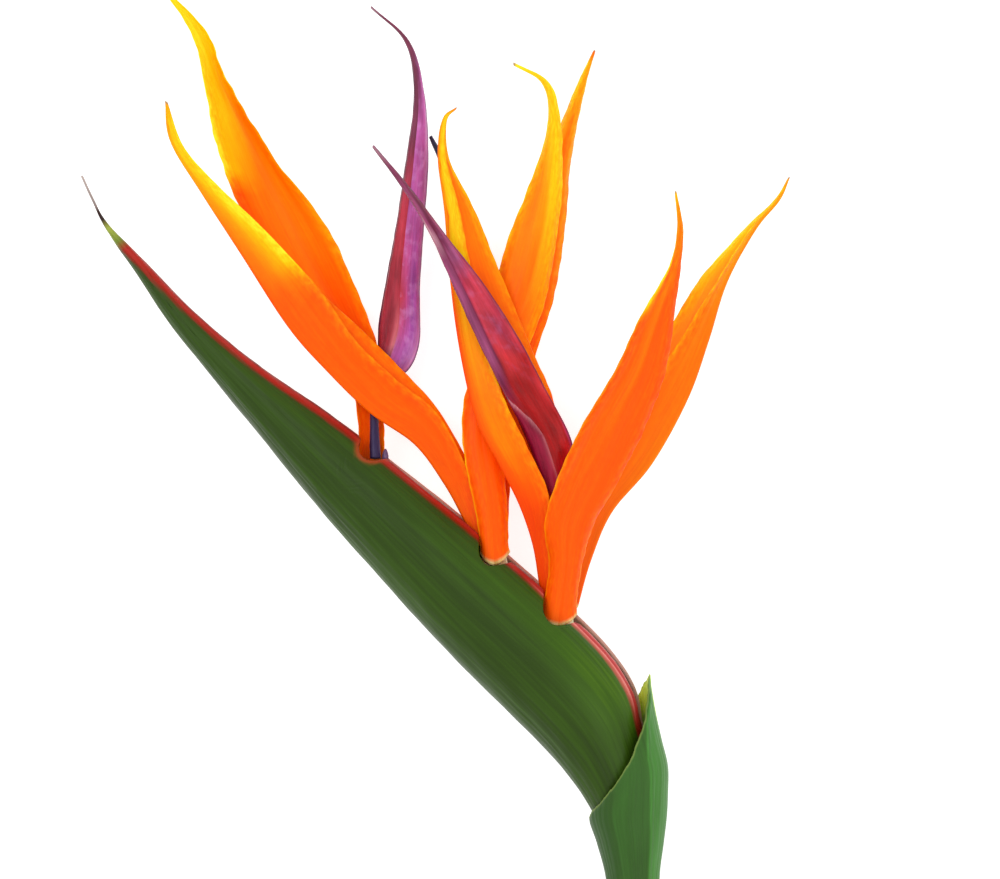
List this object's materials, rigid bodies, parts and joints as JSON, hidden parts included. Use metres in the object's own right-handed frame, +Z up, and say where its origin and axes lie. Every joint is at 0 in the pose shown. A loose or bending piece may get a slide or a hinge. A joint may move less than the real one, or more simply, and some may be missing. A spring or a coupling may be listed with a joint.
{
  "type": "bird of paradise flower",
  "caption": "Cut bird of paradise flower lying on its side: boat-shaped green spathe with a red rim, orange sepals and violet arrow petals on a leaf-sheathed stem.",
  "frame": {"origin": "middle of the bounding box's underside, on the surface the flower lies on", "axes": "+Z up from the surface; +Y from the cut stem end towards the flowers; the beak of the spathe points to -X"},
  "size_m": [0.1576, 0.2824, 0.0232],
  "materials": {
    "stem_green": "smooth waxy green plant tissue",
    "sheath_green": "satin mid-green leaf sheath",
    "spathe_green": "satin dark green bract with a red margin",
    "stalk_cream": "matt pale cream-green plant tissue",
    "sepal_orange": "satin orange, yellow at the margins",
    "arrow_petal_violet": "satin red-violet petal",
    "nectary_blue": "satin blue-violet petal"
  },
  "bodies": {
    "root": {"scape": "stem_green", "sheath_bract": "sheath_green", "spathe": "spathe_green", "left_stalk": "stalk_cream", "middle_stalk": "stalk_cream", "right_stalk": "stalk_cream", "left_sepal": "sepal_orange", "middle_keeled_sepal": "sepal_orange", "middle_front_sepal": "sepal_orange", "middle_back_sepal": "sepal_orange", "right_keeled_sepal": "sepal_orange", "right_front_sepal": "sepal_orange", "right_back_sepal": "sepal_orange", "left_arrow_petal": "arrow_petal_violet", "middle_arrow_petal": "arrow_petal_violet", "right_arrow_petal": "arrow_petal_violet", "left_nectary_petal": "nectary_blue"}
  },
  "joints": []
}
